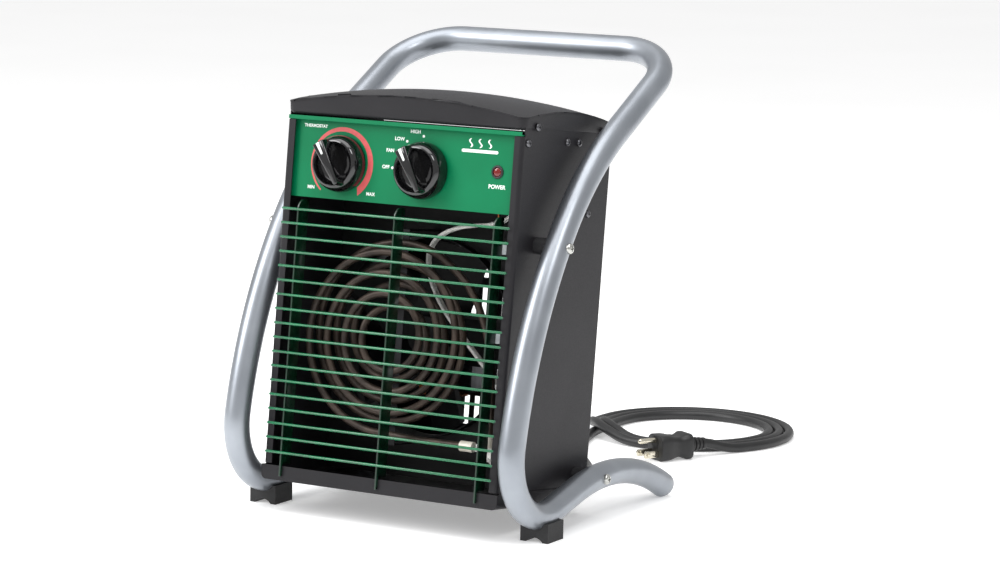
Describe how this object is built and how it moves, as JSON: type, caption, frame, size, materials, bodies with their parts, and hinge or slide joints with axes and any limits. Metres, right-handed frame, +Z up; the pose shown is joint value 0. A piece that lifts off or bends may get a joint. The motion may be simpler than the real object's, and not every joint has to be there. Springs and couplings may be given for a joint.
{
  "type": "fan heater",
  "caption": "Portable electric fan heater with a sheet-metal body, two dial controls, a wire front grille and a bent-tube stand that ends in the carrying handle.",
  "frame": {"origin": "on the floor, under the middle of the stand", "axes": "+Z up, the front with the controls and grille faces -Y, +X is to the right when looking at the front"},
  "size_m": [0.295, 0.6531, 0.3986],
  "materials": {
    "silver_paint": "smooth silver paint on bent steel tube",
    "black_rubber": "matt moulded rubber",
    "black_plastic": "moulded nylon",
    "screw_steel": "zinc-plated screws",
    "black_paint": "satin black powder coat",
    "green_paint": "satin green powder coat",
    "zinc_sheet": "zinc-plated sheet steel",
    "element_sheath": "oxidised steel sheath",
    "ceramic": "glazed ceramic",
    "fan_enamel": "black enamelled sheet",
    "shaft_steel": "turned steel",
    "lamination_steel": "stacked steel laminations",
    "coil_copper": "enamelled copper winding",
    "knob_plastic": "polished black plastic",
    "lamp_lens": "red moulded lens",
    "copper": "drawn copper",
    "lead_sleeve": "white woven-glass wire sleeve",
    "cord_jacket": "black vinyl jacket",
    "plug_brass": "nickelled brass"
  },
  "bodies": {
    "housing": {"stand_tube": "silver_paint", "tube_end_plugs": "black_rubber", "left_foot": "black_rubber", "right_foot": "black_rubber", "stand_spacers": "black_plastic", "stand_screws": "screw_steel", "base_tray": "black_paint", "left_side_panel": "black_paint", "right_side_panel": "black_paint", "back_panel": "black_paint", "top_cover": "black_paint", "control_panel": "green_paint", "front_grille": "green_paint", "cross_brace": "zinc_sheet", "heat_shield": "black_paint", "fan_shroud": "black_paint", "cover_screws": "screw_steel", "side_screws": "screw_steel", "back_screws": "screw_steel", "heating_element": "element_sheath", "element_brackets": "black_paint", "element_bushings": "ceramic", "element_terminals": "screw_steel", "motor_core": "lamination_steel", "motor_coil": "coil_copper", "motor_end_plates": "zinc_sheet", "motor_mount": "zinc_sheet", "motor_screws": "screw_steel", "mount_screws": "screw_steel", "thermostat_case": "ceramic", "switch_case": "black_plastic", "lamp_bezel": "black_plastic", "power_lamp": "lamp_lens", "sensor_bulb": "copper", "bulb_clips": "zinc_sheet", "capillary_tube": "copper", "thermal_cutout": "black_plastic", "lead_grommet": "black_rubber", "heater_leads": "lead_sleeve", "terminal_block": "ceramic", "strain_relief": "black_plastic", "cord_lead": "cord_jacket", "cord_coil": "cord_jacket", "cord_tail": "cord_jacket", "plug_body": "cord_jacket", "plug_blades": "plug_brass", "ground_pin": "plug_brass"},
    "thermostat_dial": {"thermostat_knob": "knob_plastic", "thermostat_shaft": "shaft_steel"},
    "mode_dial": {"mode_knob": "knob_plastic", "switch_shaft": "shaft_steel"},
    "fan_rotor": {"fan_blades": "fan_enamel", "motor_shaft": "shaft_steel", "motor_rotor": "lamination_steel"}
  },
  "joints": [
    {"name": "thermostat_turn", "type": "hinge", "parent": "housing", "child": "thermostat_dial", "pos_m": [-0.06, -0.09934, 0.2974], "axis": [0, 0.9941, -0.1089], "range_deg": [-108, 172]},
    {"name": "mode_turn", "type": "hinge", "parent": "housing", "child": "mode_dial", "pos_m": [0.0195, -0.09934, 0.2974], "axis": [0, 0.9941, -0.1089], "range_deg": [-60, 30]},
    {"name": "fan_spin", "type": "hinge", "parent": "housing", "child": "fan_rotor", "pos_m": [-0.018, -0.01539, 0.14535], "axis": [0, 0.9941, -0.1089], "continuous": true}
  ]
}
